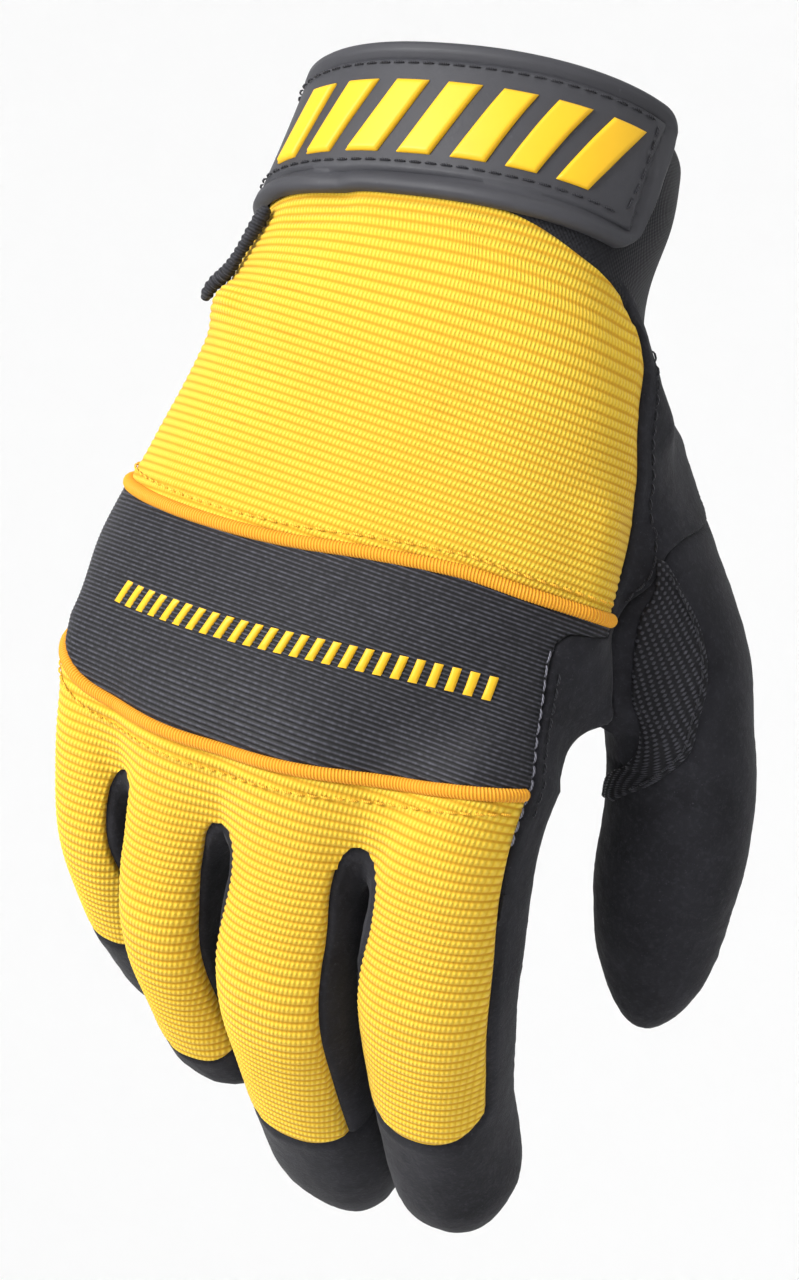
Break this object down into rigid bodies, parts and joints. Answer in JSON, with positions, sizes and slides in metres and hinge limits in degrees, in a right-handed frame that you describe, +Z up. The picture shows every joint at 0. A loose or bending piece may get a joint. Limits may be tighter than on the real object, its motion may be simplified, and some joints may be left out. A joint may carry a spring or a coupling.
{
  "type": "work glove",
  "caption": "Right-hand work glove of stretch knit and black synthetic suede with a knuckle band, padded thumb crotch and a rubber closing tab on the cuff.",
  "frame": {"origin": "centre of the wrist opening, on the opening's plane", "axes": "+Z up the back of the hand towards the wrist, -Y out of the back of the hand, +X towards the thumb"},
  "size_m": [0.128, 0.0963, 0.2155],
  "materials": {
    "yellow_stretch": "ribbed knit, matt",
    "piping_cord": "twisted cord, slight sheen",
    "band_stretch": "fine ribbed knit, matt",
    "black_suede": "synthetic suede with a short nap, matt",
    "grip_print": "small raised scales on suede, matt",
    "cuff_web": "woven elastic, matt",
    "tab_rubber": "moulded rubber, soft sheen",
    "strap_web": "woven strap, matt",
    "binding_knit": "gathered knit binding, matt"
  },
  "bodies": {
    "root": {"cuff": "cuff_web", "back_panel": "yellow_stretch", "knuckle_band": "band_stretch", "piping_upper": "piping_cord", "piping_lower": "piping_cord", "finger_panel": "yellow_stretch", "fourchette_little_ring": "black_suede", "fourchette_ring_middle": "black_suede", "fourchette_middle_index": "black_suede", "little_front": "black_suede", "ring_front": "black_suede", "middle_front": "black_suede", "index_front": "black_suede", "side_panel": "black_suede", "palm": "black_suede", "thumb": "black_suede", "thumb_grip_patch": "grip_print", "strap_tab": "tab_rubber", "wrist_strap": "strap_web", "side_binding": "binding_knit"}
  },
  "joints": []
}
